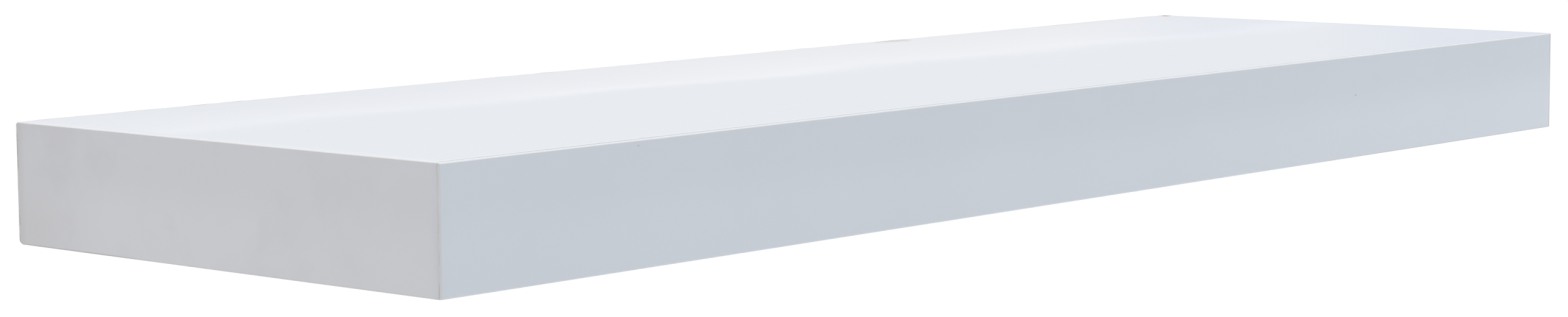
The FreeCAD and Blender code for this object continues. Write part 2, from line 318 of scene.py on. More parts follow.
HARDBOARD = (0.235, 0.128, 0.058)
HARDBOARD_PALE = (0.37, 0.225, 0.115)
DUST = (0.30, 0.27, 0.24)
# Grime of marks and smears; the same brownish grey is also the painted shade along the bands' lower edges
GRIME_AND_SHADE = (0.46, 0.41, 0.35)
CHIPPED = (0.50, 0.27, 0.11)
AGED = (0.72, 0.63, 0.56)

# Each finish's colour and tint, the scale of its patches, and how much of the tint shows
MOTTLES = {
    "white_foil": ((0.855, 0.862, 0.878), (0.842, 0.848, 0.862), 9.0, 0.5),
    "white_edging": ((0.850, 0.856, 0.872), (0.826, 0.830, 0.842), 17.0, 0.4),
    # The trimmed edges' paler colour is partly painted highlight, their warm tint their own
    "highlit_trimmed_edging": ((0.950, 0.925, 0.905), (0.915, 0.890, 0.870), 17.0, 0.4),
    "cut_edging": ((0.84, 0.83, 0.79), (0.70, 0.68, 0.63), 130.0, 0.6),
    "honeycomb_kraft": ((0.50, 0.335, 0.19), (0.38, 0.24, 0.125), 70.0, 0.6),
    "zinc_plate": ((0.40, 0.412, 0.43), (0.31, 0.318, 0.325), 60.0, 0.7),
    "turned_rod": ((0.47, 0.47, 0.475), (0.34, 0.335, 0.325), 38.0, 0.75),
    "dulled_brass": ((0.66, 0.505, 0.265), (0.45, 0.325, 0.16), 210.0, 0.7),
    "black_oxide": ((0.055, 0.054, 0.057), (0.11, 0.105, 0.10), 420.0, 0.7),
    "seam_glue": ((0.66, 0.62, 0.56), (0.33, 0.285, 0.235), 60.0, 0.9),
}

# Marks on the top foil: colour, strength, then depth, place and reach in millimetres
FOIL_MARKS = (
    (GRIME_AND_SHADE, 0.55, 0.0, (151.0, -1.0, 25.0), {"X": 19.0, "Y": 11.0}),
    (GRIME_AND_SHADE, 0.3, 0.0, (322.0, 0.0, 25.0), {"X": 54.0, "Y": 5.0}),
    (GRIME_AND_SHADE, 0.3, 0.0, (85.3, -163.3, 25.0), {"X": 1.6, "Y": 5.0}),
    (CHIPPED, 1.0, 0.15, (396.4, -6.0, 25.0), {"X": 5.2, "Y": 4.4}),
)
FOIL_PEEL = 0.0007
FOIL_GLOSS = 0.014

# Where the bands change along the board, in metres: first the start and then the end of each change
BAND_SEAM = (-0.2488, -0.2484)
SMEARED_BACK = (-0.24, -0.13)
# Painted shade along the bands' lower edge: the heights where it begins and is strongest, then where it
# grows towards the wall on the end bands and towards the right
SHADED_LOWER_EDGE = (-0.0241, -0.0246)
LOWER_SHADE_BACK = (-0.09, -0.05)
LOWER_SHADE_RIGHT = (0.10, 0.26)
AGED_CORNER = (0.3979, 0.3993)
# Darker and warmer towards the wall and towards the bottom of the end bands, and in a thin line at the
# wall
WALL_DARKENING_BACK = (-0.058, -0.008)
WALL_DARKENING_DOWN = (0.014, -0.018)
WALL_LINE = (-0.006, -0.0005)

# One dust speck on the front band, in millimetres
BAND_SPECK = (-297.3, -250.0, 22.5)
BAND_SPECK_REACH = {"X": 1.0, "Z": 0.5}

# Where the seam glue changes, in metres
GLUE_CLEAN = (-0.10, 0.20)
GLUE_FADED = (0.018, -0.010)
GLUE_FOOT = (-0.0165, -0.0205)
GLUE_OUTWARD = (0.388, 0.397)
GLUE_FORWARD = (-0.236, -0.245)


def mottled(tree, name):
    """The soft mottle with a finish's own colours."""
    colour, tint, scale, amount = MOTTLES[name]
    return use_group(tree, soft_mottle, Colour=colour, Tint=tint, Scale=scale, Amount=amount)


def specked(tree, colour, speck, cells, size, share):
    """A colour with stray specks of another over it."""
    made = use_group(tree, stray_specks, Colour=colour, Speck=speck, Cells=cells, Size=size, Share=share)
    return made["Colour"]


def marked(tree, colour, tint, share, place, reach):
    """A colour with one small mark, whose place and reach are in millimetres."""
    places = {"Place_" + axis: at * MM for axis, at in zip("XYZ", place)}
    sizes = {"Reach_" + axis: size * MM for axis, size in reach.items()}
    return use_group(tree, small_mark, Colour=colour, Tint=tint, Share=share, **places, **sizes)


def make_white_foil():
    """Glossy white paper foil on the flat skins."""
    finish, tree = start_finish("white_foil", IOR=1.5)
    mottle = mottled(tree, "white_foil")
    dusty = specked(tree, mottle["Colour"], DUST, 34.0, 0.020, 0.10)
    edge = use_group(tree, rubbed_back_edge, Colour=dusty, Raw=HARDBOARD_PALE, Reach=0.0011, Wear=0.85)
    peel = use_group(tree, fine_peel, Scale=700.0, Broad=110.0)
    relief = times(tree, peel["Height"], FOIL_PEEL * MM)
    colour, worn = edge["Colour"], edge["Mask"]
    for tint, share, depth, place, reach in FOIL_MARKS:
        mark = marked(tree, colour, tint, share, place, reach)
        colour = mark["Colour"]
        worn = worked(tree, "MAXIMUM", worn, mark["Mask"])
        relief = worked(tree, "SUBTRACT", relief, times(tree, mark["Mask"], depth * MM))
    scuffs = use_group(tree, faint_scuffs, Along=10.0, Across=520.0, Share=0.12)
    gloss = plus(
        tree,
        times(tree, scuffs["Mask"], 0.10),
        times(tree, mottle["Tone"], 0.008),
        times(tree, worn, 0.5),
        FOIL_GLOSS,
    )
    return dress(finish, colour, gloss, bump(tree, relief, 1.0))


def make_edging(name, gloss):
    """White plastic of the edge bands, a little softer in gloss than the foil."""
    finish, tree = start_finish(name, IOR=1.5)
    x, y, z = along_axes(tree)
    on_end = ranged(tree, y, *BAND_SEAM)
    on_front = worked(tree, "SUBTRACT", 1.0, on_end)
    mottle = mottled(tree, name)
    smears = use_group(tree, soft_mottle, Scale=26.0)
    smear = times(
        tree,
        ranged(tree, smears["Tone"], 0.45, 1.0, 0.0, 0.07),
        on_end,
        ranged(tree, y, *SMEARED_BACK, 0.35, 1.0),
    )
    smeared = mixed(tree, smear, mottle["Colour"], GRIME_AND_SHADE)
    dusty = specked(tree, smeared, (0.52, 0.50, 0.48), 48.0, 0.022, 0.08)
    edge = use_group(
        tree, rubbed_back_edge, Colour=dusty, Raw=(0.42, 0.33, 0.24), Reach=0.0016, Wear=0.4
    )
    speck = marked(tree, edge["Colour"], DUST, 0.3, BAND_SPECK, BAND_SPECK_REACH)
    corner = times(tree, ranged(tree, x, *AGED_CORNER, 0.0, 0.8), on_front)
    aged = mixed(tree, corner, speck["Colour"], AGED)
    # Painted shade along the lower edge reaches the end bands towards the wall, and all bands towards the
    # right
    lower_shade_reach = worked(
        tree,
        "MAXIMUM",
        times(tree, on_end, ranged(tree, y, *LOWER_SHADE_BACK, 0.32, 1.0)),
        ranged(tree, x, *LOWER_SHADE_RIGHT, 0.0, 0.8),
    )
    # Darker and warmer towards the wall and towards the bottom, with a thin darker line at the wall
    wall_darkening = plus(
        tree,
        times(tree, ranged(tree, y, *WALL_DARKENING_BACK, 0.0, 0.19), ranged(tree, z, *WALL_DARKENING_DOWN, 0.2, 1.0)),
        ranged(tree, y, *WALL_LINE, 0.0, 0.15),
    )
    # Painted shade along the lower edge and the darker tone near the wall are both mixed towards a
    # brownish grey
    lower_edge_shade = times(tree, ranged(tree, z, *SHADED_LOWER_EDGE, 0.0, 0.62), lower_shade_reach)
    colour = mixed(tree, worked(tree, "MAXIMUM", lower_edge_shade, wall_darkening), aged, GRIME_AND_SHADE)
    scuffs = use_group(tree, faint_scuffs, Along=14.0, Across=600.0, Share=0.10)
    dull = plus(tree, times(tree, scuffs["Mask"], 0.08), times(tree, mottle["Tone"], 0.03), gloss)
    peel = use_group(tree, fine_peel, Scale=1100.0, Broad=180.0)
    return dress(finish, colour, dull, bump(tree, peel["Height"], 0.000006))


def make_cut_edging():
    """The sawn end of the edge band, creamier and duller than its face."""
    finish, tree = start_finish("cut_edging", IOR=1.48)
    mottle = mottled(tree, "cut_edging")
    saw = use_group(tree, drawn_lines, Along_X=300.0, Along_Y=300.0, Along_Z=4200.0)
    dull = plus(tree, times(tree, mottle["Tone"], 0.12), 0.45)
    return dress(finish, mottle["Colour"], dull, bump(tree, saw["Tone"], 0.00004))


def make_raw_hardboard():
    """Brown pressed fibre of the skins, seen at their cut edges and inner faces."""
    finish, tree = start_finish("raw_hardboard", IOR=1.4)
    fibres = cloudy(tree, stretched(tree, (700, 700, 2600)), 1.0, 5.0, 0.7)
    clumps = cloudy(tree, stretched(tree, (90, 90, 260)), 1.0, 3.0, 0.6)
    tone = plus(tree, times(tree, fibres, 0.65), times(tree, clumps, 0.35))
    base = mixed(tree, ranged(tree, tone, 0.36, 0.66), HARDBOARD, HARDBOARD_PALE)
    colour = specked(tree, base, (0.150, 0.080, 0.038), 900.0, 0.34, 0.22)
    dull = ranged(tree, tone, 0.3, 0.7, 0.62, 0.84)
    return dress(finish, colour, dull, bump(tree, tone, 0.00025, 0.7))


# Chipboard flakes from large to small: stretch along each axis, and cells per metre
FLAKES = (((1.0, 2.6, 1.4), 230.0), ((2.4, 1.0, 1.5), 420.0), ((1.2, 1.5, 1.0), 900.0))


def make_chipboard():
    """Pressed wood flakes of the frame rails."""
    finish, tree = start_finish("pressed_chipboard", IOR=1.4)
    ragged = put(tree, "ShaderNodeTexNoise", Vector=stretched(tree), Scale=800.0, Detail=3.0)
    push = put(
        tree,
        "ShaderNodeVectorMath",
        {"operation": "SCALE"},
        Vector=ragged.outputs["Color"],
        Scale=0.0018,
    )
    layers = []
    for stretch, scale in FLAKES:
        places = tree.nodes.new("ShaderNodeVectorMath")
        connect(tree, places.inputs[0], stretched(tree, stretch))
        connect(tree, places.inputs[1], push.outputs[0])
        flakes = put(tree, "ShaderNodeTexVoronoi", Vector=places.outputs[0], Scale=scale)
        parts = put(tree, "ShaderNodeSeparateColor", Color=flakes.outputs["Color"])
        layers.append((parts.outputs[0], parts.outputs[1], flakes.outputs["Distance"]))
    large, mid, small = layers
    base = mixed(tree, large[0], (0.46, 0.315, 0.185), (0.66, 0.50, 0.325))
    middle = mixed(tree, mid[0], (0.36, 0.225, 0.12), (0.70, 0.55, 0.37))
    covered = mixed(tree, worked(tree, "GREATER_THAN", mid[1], 0.55), base, middle)
    fines = mixed(tree, small[0], (0.24, 0.14, 0.07), (0.60, 0.45, 0.28))
    colour = mixed(tree, worked(tree, "GREATER_THAN", small[1], 0.72), covered, fines)
    relief = plus(tree, large[0], times(tree, small[2], 0.8))
    dull = ranged(tree, mid[0], 0.0, 1.0, 0.68, 0.9)
    return dress(finish, colour, dull, bump(tree, relief, 0.0003, 0.6))


def make_guide_pine():
    """Planed softwood of the guide blocks, its grain along the rods."""
    finish, tree = start_finish("planed_pine", IOR=1.42)
    rings = put(
        tree,
        "ShaderNodeTexWave",
        {"wave_type": "RINGS", "rings_direction": "Y", "wave_profile": "SAW"},
        Vector=stretched(tree, (1.0, 0.05, 1.0)),
        Scale=75.0,
        Distortion=2.4,
        Detail=3.0,
    )
    fibres = cloudy(tree, stretched(tree, (1400, 24, 1400)), 1.0, 4.0, 0.6)
    wood = mixed(tree, rings.outputs[1], (0.66, 0.45, 0.235), (0.46, 0.265, 0.11))
    colour = mixed(tree, times(tree, fibres, 0.35), wood, (0.74, 0.56, 0.33))
    dull = ranged(tree, fibres, 0.3, 0.7, 0.5, 0.68)
    return dress(finish, colour, dull, bump(tree, fibres, 0.00012, 0.6))


def make_honeycomb_paper():
    """Brown paper of the honeycomb."""
    finish, tree = start_finish("honeycomb_kraft", IOR=1.4)
    fibres = cloudy(tree, stretched(tree, (900, 900, 260)), 1.0, 5.0, 0.7)
    mottle = mottled(tree, "honeycomb_kraft")
    colour = mixed(tree, times(tree, fibres, 0.4), mottle["Colour"], (0.58, 0.42, 0.26))
    dull = ranged(tree, fibres, 0.3, 0.7, 0.75, 0.92)
    return dress(finish, colour, dull, bump(tree, fibres, 0.0001, 0.5))


def make_zinc_plate():
    """Bright zinc on the rolled steel strip."""
    finish, tree = start_finish("zinc_plate", Metallic=1.0)
    rolled = use_group(tree, drawn_lines, Along_X=9.0, Along_Y=700.0, Along_Z=1700.0)
    mottle = mottled(tree, "zinc_plate")
    grains = put(tree, "ShaderNodeTexVoronoi", Vector=stretched(tree), Scale=260.0)
    grain = put(tree, "ShaderNodeSeparateColor", Color=grains.outputs["Color"]).outputs[0]
    bright = mixed(tree, times(tree, grain, 0.22), mottle["Colour"], (0.52, 0.535, 0.56))
    colour = specked(tree, bright, (0.20, 0.19, 0.17), 120.0, 0.07, 0.12)
    dull = plus(tree, times(tree, rolled["Tone"], 0.20), times(tree, grain, 0.07), 0.22)
    return dress(finish, colour, dull, bump(tree, rolled["Tone"], 0.00003, 0.6))


def make_turned_rod():
    """Turned steel of the rods, with fine rings round the bar."""
    finish, tree = start_finish("turned_rod", Metallic=1.0)
    rings = use_group(tree, drawn_lines, Along_X=30.0, Along_Y=3600.0, Along_Z=30.0)["Tone"]
    mottle = mottled(tree, "turned_rod")
    colour = mixed(tree, times(tree, rings, 0.3), mottle["Colour"], (0.70, 0.70, 0.71))
    dull = ranged(tree, rings, 0.25, 0.75, 0.16, 0.36)
    return dress(finish, colour, dull, bump(tree, rings, 0.00002, 0.8))


def make_insert_brass():
    """Brass of the threaded inserts, dulled in patches."""
    finish, tree = start_finish("dulled_brass", Metallic=1.0)
    mottle = mottled(tree, "dulled_brass")
    lines = use_group(tree, drawn_lines, Along_X=500.0, Along_Y=500.0, Along_Z=5200.0)["Tone"]
    dull = ranged(tree, lines, 0.25, 0.75, 0.2, 0.42)
    return dress(finish, mottle["Colour"], dull, bump(tree, lines, 0.00002, 0.6))


def make_black_screw():
    """Black oxide steel of the set screws, rubbed bright on the thread's crests."""
    finish, tree = start_finish("black_oxide", Metallic=1.0)
    places = tree.nodes.new("ShaderNodeTexCoord")
    parts = put(tree, "ShaderNodeSeparateXYZ", Vector=places.outputs["Generated"])
    squares = []
    for axis in "XY":
        away = worked(tree, "SUBTRACT", parts.outputs[axis], 0.5)
        squares.append(worked(tree, "POWER", worked(tree, "ABSOLUTE", away), 2.0))
    from_axis = worked(tree, "POWER", plus(tree, *squares), 0.5)
    mottle = mottled(tree, "black_oxide")
    rub = times(tree, ranged(tree, from_axis, 0.475, 0.5), ranged(tree, mottle["Tone"], 0.2, 0.9))
    colour = mixed(tree, rub, mottle["Colour"], (0.36, 0.35, 0.345))
    return dress(finish, colour, ranged(tree, mottle["Tone"], 0.0, 1.0, 0.34, 0.5))


def make_glue_bead():
    """Hot melt glue in the seams, nearly black at the foot of the front corners."""
    finish, tree = start_finish("seam_glue", IOR=1.45)
    mottle = mottled(tree, "seam_glue")
    x, y, z = along_axes(tree)
    clean = ranged(tree, x, *GLUE_CLEAN, 0.0, 0.8)
    faded = ranged(tree, z, *GLUE_FADED, 0.0, 0.55)
    paler = worked(tree, "MAXIMUM", clean, faded)
    glue = mixed(tree, paler, mottle["Colour"], (0.90, 0.89, 0.88))
    # Nearly black at the foot of the front corners' seams
    foot = times(
        tree,
        ranged(tree, z, *GLUE_FOOT, 0.0, 0.75),
        ranged(tree, worked(tree, "ABSOLUTE", x), *GLUE_OUTWARD),
        ranged(tree, y, *GLUE_FORWARD),
    )
    colour = mixed(tree, foot, glue, (0.085, 0.068, 0.052))
    return dress(finish, colour, ranged(tree, mottle["Tone"], 0.0, 1.0, 0.5, 0.75))


white_foil = make_white_foil()
white_edging = make_edging("white_edging", 0.12)
# Paler and warmer than the band's face: painted highlight along the trimmed edges, with a warm tint of
# their own
highlit_trimmed_edging = make_edging("highlit_trimmed_edging", 0.3)
cut_edging = make_cut_edging()
raw_hardboard = make_raw_hardboard()
pressed_chipboard = make_chipboard()
planed_pine = make_guide_pine()
honeycomb_kraft = make_honeycomb_paper()
zinc_plate = make_zinc_plate()
turned_rod = make_turned_rod()
dulled_brass = make_insert_brass()
black_oxide = make_black_screw()
seam_glue = make_glue_bead()


# Mesh helpers, in millimetres

def node_box(node):
    """A node's lowest and highest corners in millimetres."""
    low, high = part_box(node)
    return [v / MM for v in low], [v / MM for v in high]


# Faces that meet at more than this many degrees keep a sharp edge between them
CREASE = 32.0


def make_piece(name, points, faces, finishes, face_finish=None, crease=CREASE):
    """A closed mesh piece from points in millimetres."""
    mesh = bpy.data.meshes.new(name)
    mesh.from_pydata([tuple(v * MM for v in p) for p in points], [], faces)
    for finish in finishes:
        mesh.materials.append(finish)
    if face_finish:
        mesh.polygons.foreach_set("material_index", face_finish)
    form = bmesh.new()
    form.from_mesh(mesh)
    bmesh.ops.recalc_face_normals(form, faces=form.faces)
    form.to_mesh(mesh)
    form.free()
    return show(name, mesh, crease)


def set_out(name, data):
    """Put a mesh, a light or a camera in the scene."""
    made = bpy.data.objects.new(name, data)
    scene.collection.objects.link(made)
    return made


def show(name, mesh, crease):
    """Shade a mesh smooth up to an angle in degrees, and put it in the scene."""
    mesh.shade_smooth()
    mesh.set_sharp_from_angle(angle=math.radians(crease))
    return set_out(name, mesh)


def hang(piece, body, slot, *nodes):
    """Put a piece on its body, and hide the nodes that it stands for; its slot is not used."""
    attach(piece, body)
    if nodes:
        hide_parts(*nodes)
    return piece


# Waves of a slow wander: length, weight, and shift for each step of the seed
WAVES = ((37.0, 1.0, 1.7), (15.3, 0.7, 2.9), (6.1, 0.4, 4.3))
WAVES_WEIGHT = 2.1


def wander(place, seed):
    """A slow smooth wave between about -1 and 1."""
    heights = [weight * math.sin(place / length + seed * shift) for length, weight, shift in WAVES]
    return sum(heights) / WAVES_WEIGHT


def steps(first, last, step, rims):
    """Grid lines between two places, with closer lines near each end."""
    start, end = first + rims[0][-1], last - rims[1][-1]
    count = max(1, round((end - start) / step))
    inner = [start + (end - start) * i / count for i in range(count + 1)]
    head = [first + r for r in rims[0][:-1]]
    tail = [last - r for r in reversed(rims[1][:-1])]
    return head + inner + tail


def ring_at(count, height, reach_at):
    """A ring of points about the Z axis, whose reach may change with angle and height."""
    ring = []
    for i in range(count):
        angle = 2 * math.pi * i / count
        reach = reach_at(angle, height)
        ring.append((reach * math.cos(angle), reach * math.sin(angle), height))
    return ring


def ring_faces(rings, per_ring, closed=False):
    """Quads between neighbouring rings of points."""
    faces = []
    for i in range(rings if closed else rings - 1):
        for j in range(per_ring):
            a, b = i * per_ring, (i + 1) % rings * per_ring
            k = (j + 1) % per_ring
            faces.append((a + j, a + k, b + k, b + j))
    return faces


# Skins

# Width of an eased seam
SEAM = 0.16

# Rounding of the board's corners at the wall, and how far from the ends it fades out on a skin
LOW_CORNER, HIGH_CORNER, CORNER_FADE = 2.3, 1.2, 9.0

# How far rounded corners drop, as a share of a true round
CORNER_SHARE = 0.9

# How deep a skin lies below the solid's face, and how much deeper in its front and end seams
SKIN_SINK, FRONT_DROP, END_DROP = 0.032, 0.03, 0.05
SKIN_WAVE = 0.006

# Wear of a skin at the wall: how far it reaches, its least drop, and how much the drop varies
WALL_WEAR = ((0.05, 0.16, 0.22), (0.2, 0.05, 0.06))

# Lines of a skin's grid near the wall, and the grid's step
SKIN_RIM = (0.0, 0.12, 0.35, 1.2)
SKIN_STEP = 5.0


def eased(distance, radius):
    """How far a rounded end stands back at a distance from its tip."""
    if distance >= radius:
        return 0.0
    return radius - math.sqrt(max(radius * radius - (radius - distance) ** 2, 0.0))


def skin_wave(x, y, side):
    """How far the pressed sheet stands from a true plane, about a hundredth of a millimetre."""
    return SKIN_WAVE * (
        math.sin(x / 52.0 + 0.9 * side + 0.012 * y) * math.cos(y / 41.0 + 0.7)
        + 0.6 * math.sin((x + 0.7 * y) / 27.0 + 1.3 * side)
        + 0.8 * math.cos((y - 0.25 * x) / 33.0 + 2.1)
    )


def make_skin(name, node, side):
    """A skin with eased seams on three edges, a worn raw back edge and a barely wavy face."""
    low, high = node_box(node)
    face = high[2] if side > 0 else -low[2]
    inner = low[2] if side > 0 else high[2]
    corner = HIGH_CORNER if side > 0 else LOW_CORNER
    xs = steps(low[0], high[0], SKIN_STEP, ((0.0, SEAM), (0.0, SEAM)))
    ys = steps(low[1], high[1], SKIN_STEP, ((0.0, SEAM), SKIN_RIM))
    points, faces, finish = [], [], []
    for y in ys:
        for x in xs:
            from_end, from_wall = min(x - low[0], high[0] - x), high[1] - y
            drop = SKIN_SINK - skin_wave(x, y, side)
            if y - low[1] < SEAM / 2:
                drop += FRONT_DROP
            elif from_end < SEAM / 2:
                drop += END_DROP
            worn = 0.5 + 0.5 * wander(x * 2.3, 3 + side)
            for reach, least, more in WALL_WEAR:
                if from_wall < reach:
                    drop += least + more * worn
                    break
            near = max(0.0, 1.0 - from_end / CORNER_FADE)
            drop += CORNER_SHARE * near * eased(from_wall, corner)
            points.append((x, y, side * (face - drop)))
    wide, deep = len(xs), len(ys)
    for j in range(deep - 1):
        for i in range(wide - 1):
            a = j * wide + i
            faces.append((a, a + 1, a + wide + 1, a + wide))
            finish.append(0)
    rim = list(range(wide))
    rim += [j * wide + wide - 1 for j in range(1, deep)]
    rim += [(deep - 1) * wide + i for i in range(wide - 2, -1, -1)]
    rim += [j * wide for j in range(deep - 2, 0, -1)]
    start = len(points)
    for place in rim:
        points.append((points[place][0], points[place][1], inner))
    for i, place in enumerate(rim):
        k = (i + 1) % len(rim)
        faces.append((place, rim[k], start + k, start + i))
        at_wall = min(points[place][1], points[rim[k]][1]) > high[1] - 0.01
        finish.append(1 if at_wall else 0)
    faces.append(tuple(range(start, start + len(rim))))
    finish.append(1)
    return make_piece(name, points, faces, (white_foil, raw_hardboard), finish)


# Points round a seat and round a rod
SEAT_COUNT, ROD_COUNT = 48, 72

# Seat of an insert: play round its flange, chamfer, depth, bore for its barrel, and cut past the skin
SEAT_PLAY, SEAT_CHAMFER, SEAT_DEPTH, SEAT_BORE, SEAT_PAST = 0.1, 0.18, 1.2, 5.1, 2.0


def seat_cutter(insert):
    """The stepped hole in the bottom skin that takes a flanged insert."""
    low, high = node_box("bottom_skin")
    insert_low, insert_high = node_box(insert)
    middle = [(insert_low[i] + insert_high[i]) / 2 for i in range(2)]
    rim = (insert_high[0] - insert_low[0]) / 2 + SEAT_PLAY
    profile = [
        (0.0, low[2] - SEAT_PAST),
        (rim + SEAT_CHAMFER, low[2] - SEAT_PAST),
        (rim + SEAT_CHAMFER, low[2]),
        (rim, low[2] + SEAT_CHAMFER),
        (rim, low[2] + SEAT_DEPTH),
        (SEAT_BORE, low[2] + SEAT_DEPTH),
        (SEAT_BORE, high[2] + SEAT_PAST),
        (0.0, high[2] + SEAT_PAST),
    ]
    points, faces = turned(profile, SEAT_COUNT)
    moved = [(middle[0] + p[0], middle[1] + p[1], p[2]) for p in points]
    return make_piece("cutter_" + insert, moved, faces, (raw_hardboard,))


def turned(profile, count):
    """A profile of radius and height turned about Z; it starts and ends on the axis."""
    points = [(0.0, 0.0, profile[0][1])]
    for radius, height in profile[1:-1]:
        points += ring_at(count, height, lambda angle, z: radius)
    points.append((0.0, 0.0, profile[-1][1]))
    rings = len(profile) - 2
    faces = [tuple(v + 1 for v in face) for face in ring_faces(rings, count)]
    last = len(points) - 1
    for i in range(count):
        k = (i + 1) % count
        faces.append((0, 1 + k, 1 + i))
        faces.append((last, last - count + i, last - count + k))
    return points, faces


def cut_away(piece, cutters):
    """Take cutters out of a piece, whose cut faces get the cutters' finish."""
    for cutter in cutters:
        cut = piece.modifiers.new("seat", "BOOLEAN")
        cut.object = cutter
        cut.operation = "DIFFERENCE"
        cut.solver = "EXACT"
        cut.material_mode = "TRANSFER"
    shown = piece.evaluated_get(bpy.context.evaluated_depsgraph_get())
    mesh = bpy.data.meshes.new_from_object(shown)
    piece.modifiers.clear()
    old = piece.data
    piece.data = mesh
    mesh.name = piece.name
    bpy.data.meshes.remove(old)
    mesh.shade_smooth()
    mesh.set_sharp_from_angle(angle=math.radians(CREASE))
    for cutter in cutters:
        bpy.data.objects.remove(cutter)
    return piece


hang(make_skin("top_face_sheet", "top_skin", 1), SHELF, "white_skin", "top_skin")

bottom_sheet = make_skin("bottom_face_sheet", "bottom_skin", -1)
seats = [seat_cutter(side + "_insert") for side in SIDES]
hang(cut_away(bottom_sheet, seats), SHELF, "white_skin", "bottom_skin")


# Edge bands

# A trimmed edge from its side to its top, in shares of its width
TRIMMED = ((0.0, 0.0), (0.016, 0.119), (0.082, 0.254), (0.746, 0.918), (0.881, 0.984), (1.0, 1.0))

# Faces round a band's section that belong to its trimmed edges
EDGE_FACES = (1, 2, 3, 4, 5, 6, 8, 9, 10, 11, 12, 13)

# How deep a band lies below the solid's face, and the ripple of its face
BAND_SINK, BAND_RIPPLE = 0.014, 0.012
BAND_STEP = 4.0

# How far the bands' top and bottom stand below the skins, and the width of an end band's trimmed edge
FRONT_SAG, END_SAG, END_EDGE = 0.165, 0.07, 0.52

# Lines across the bands near the front band's ends, and on an end band near the front and the wall
FRONT_RIM = (0.0, 0.02, 0.07, 0.16, 0.3, 0.48, 0.65)
LAP_RIM = (0.0, 0.09, 0.2)
WALL_RIM = (0.0, 0.05, 0.15, 0.3, 0.55, 0.9, 1.3, 1.7, 2.4, 3.0, 4.0, 5.0, 6.0, 7.0, 8.0)

# The chip in the right band: its far and near ends from the wall, its ragged rim, and its depth
CHIP_FAR, CHIP_NEAR, CHIP_RIM, CHIP_DEPTH = 6.2, 1.6, 0.6, 0.5


def band_section(thick, half, radius, inset, sag):
    """A band's section: distance out from the board, and height. Inset shrinks its outer side."""
    outer = thick - inset
    curve = max(radius - inset, 0.04)
    top = half - sag
    section = [(0.0, -top + SEAM), (SEAM, -top)]
    for back, up in reversed(TRIMMED):
        section.append((outer - curve * back, -top + curve * (1 - up)))
    for back, up in TRIMMED:
        section.append((outer - curve * back, top - curve * (1 - up)))
    section += [(SEAM, top), (0.0, top - SEAM)]
    return section


def make_band(name, stations, section_at, place, cap_finish, chip=None):
    """A band drawn along its stations, with cut ends, and perhaps a chip in its top edge."""
    points, finish = [], []
    for s in stations:
        points += [place(s, out, height) for out, height in section_at(s)]
    per = len(section_at(stations[0]))
    faces = ring_faces(len(stations), per)
    for i in range(len(stations) - 1):
        middle = (stations[i] + stations[i + 1]) / 2
        for j in range(per):
            chipped = chip and chip[0] < middle < chip[1] and per // 2 + 2 <= j < per - 2
            finish.append(2 if chipped else 3 if j in EDGE_FACES else 0)
    faces += [tuple(range(per)), tuple(range((len(stations) - 1) * per, len(stations) * per))]
    finish += [1, 1]
    finishes = (white_edging, cap_finish, raw_hardboard, highlit_trimmed_edging)
    return make_piece(name, points, faces, finishes, finish, 40.0)


def make_front_band():
    """The front band, lapping over both ends, with all its front edges eased."""
    low, high = node_box("front_edge_band")
    thick, half, radius = high[1] - low[1], high[2], FRONT_RIM[-1]
    stations = steps(low[0], high[0], BAND_STEP, (FRONT_RIM, FRONT_RIM))

    def section_at(x):
        inset = eased(min(x - low[0], high[0] - x), radius)
        outer = thick - BAND_SINK + BAND_RIPPLE * wander(x, 1)
        edge = radius + 0.07 * wander(x * 1.9, 2)
        return band_section(outer, half, edge, inset * 0.85, FRONT_SAG + inset * 0.4)

    def place(x, out, height):
        return (x, high[1] - out, height)

    return make_band("front_band", stations, section_at, place, cut_edging)


def make_end_band(side):
    """An end band between the front band and the wall, with softly eased top and bottom edges."""
    node = side + "_edge_band"
    low, high = node_box(node)
    sign = -1 if side == "left" else 1
    thick, half = high[0] - low[0], high[2]
    base = high[0] if side == "left" else low[0]
    stations = steps(low[1], high[1], BAND_STEP, (LAP_RIM, WALL_RIM))
    chip = (high[1] - CHIP_FAR, high[1] - CHIP_NEAR) if side == "right" else None

    def section_at(y):
        from_front, from_wall = y - low[1], high[1] - y
        inset = SEAM * max(0.0, 1.0 - from_front / LAP_RIM[-1]) + eased(from_wall, 0.25) * 0.8
        outer = thick - BAND_SINK + BAND_RIPPLE * wander(y, 4 + sign)
        far = from_front / (high[1] - low[1])
        edge = END_EDGE - 0.1 * far + 0.04 * wander(y * 1.7, 5 + sign)
        dent = 0.0
        if chip and chip[0] - CHIP_RIM < y < chip[1] + CHIP_RIM:
            dent = CHIP_DEPTH + 0.2 * wander(y * 9, 8)
        section = band_section(outer, half, edge, inset, END_SAG + inset * 0.6)
        half_way = len(section) // 2
        under = CORNER_SHARE * eased(from_wall, LOW_CORNER)
        over = CORNER_SHARE * eased(from_wall, HIGH_CORNER)
        lower = [(out, height + under) for out, height in section[:half_way]]
        flat = [(out, height - over) for out, height in section[half_way:half_way + 3]]
        upper = [(out, height - over - dent) for out, height in section[half_way + 3:]]
        return lower + flat + upper

    def place(y, out, height):
        return (base + sign * out, y, height)

    cap = raw_hardboard if chip else cut_edging
    return make_band(side + "_band", stations, section_at, place, cap, chip)


hang(make_front_band(), SHELF, "white_band", "front_edge_band")
for side in SIDES:
    hang(make_end_band(side), SHELF, "white_band", side + "_edge_band")


# Glue in the seams between bands and skins

# A bead's half width, sideways stray, hollow and whole depth
BEAD_WIDTH, BEAD_STRAY, BEAD_HOLLOW, BEAD_DEPTH = 0.15, 0.09, 0.03, 0.3

# How deep a bead lies, and how much deeper on the top and underside
BEAD_SUNK, BEAD_DROP = 0.035, 0.12

# Length of the beads' steps round the front, and what they leave free at corners and ends
BEAD_STEP, CORNER_FREE, END_FREE = 8, 0.7, 0.4
END_STEPS = 33


